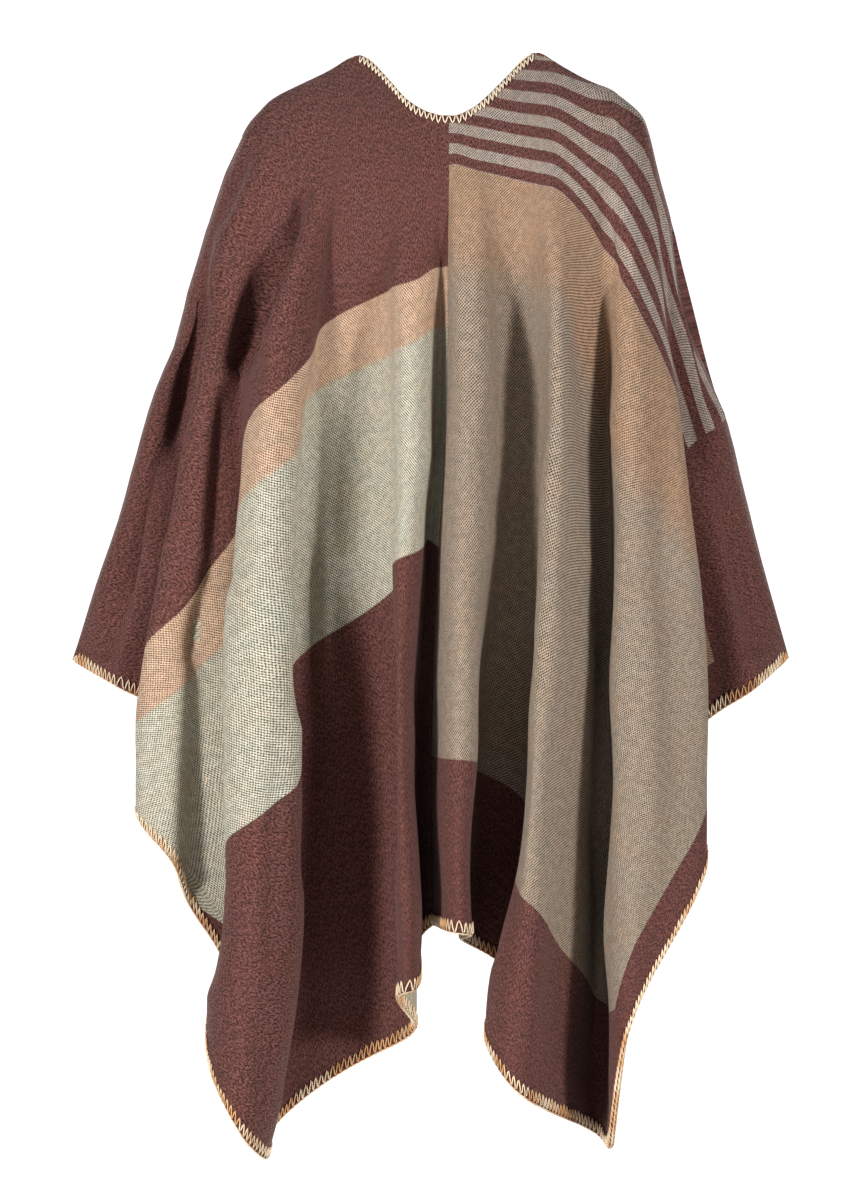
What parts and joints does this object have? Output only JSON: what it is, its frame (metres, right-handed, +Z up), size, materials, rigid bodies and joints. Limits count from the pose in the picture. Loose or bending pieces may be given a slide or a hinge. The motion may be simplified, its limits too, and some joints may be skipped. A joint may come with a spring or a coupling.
{
  "type": "open-front poncho worn with no wearer",
  "caption": "Open-front poncho of thick brushed wool in colour blocks and stripes, in its worn form: two long halves joined down the centre back, hanging in deep folds.",
  "frame": {"origin": "middle of the neck opening, level with the neck points, where the wearer's shoulders hold the cloth", "axes": "+Z up, +Y to the open front, -Y to the back that the picture shows, +X to the wearer's right and the picture's right"},
  "size_m": [0.6126, 0.3528, 0.9364],
  "materials": {
    "left_cloth": "brushed wool, maroon with tan and grey-green blocks",
    "right_cloth": "brushed wool, taupe and tan blocks with maroon stripes",
    "edging": "overcast stitch in cream and orange yarn"
  },
  "bodies": {
    "root": {"left_half": "left_cloth", "right_half": "right_cloth"}
  },
  "joints": []
}
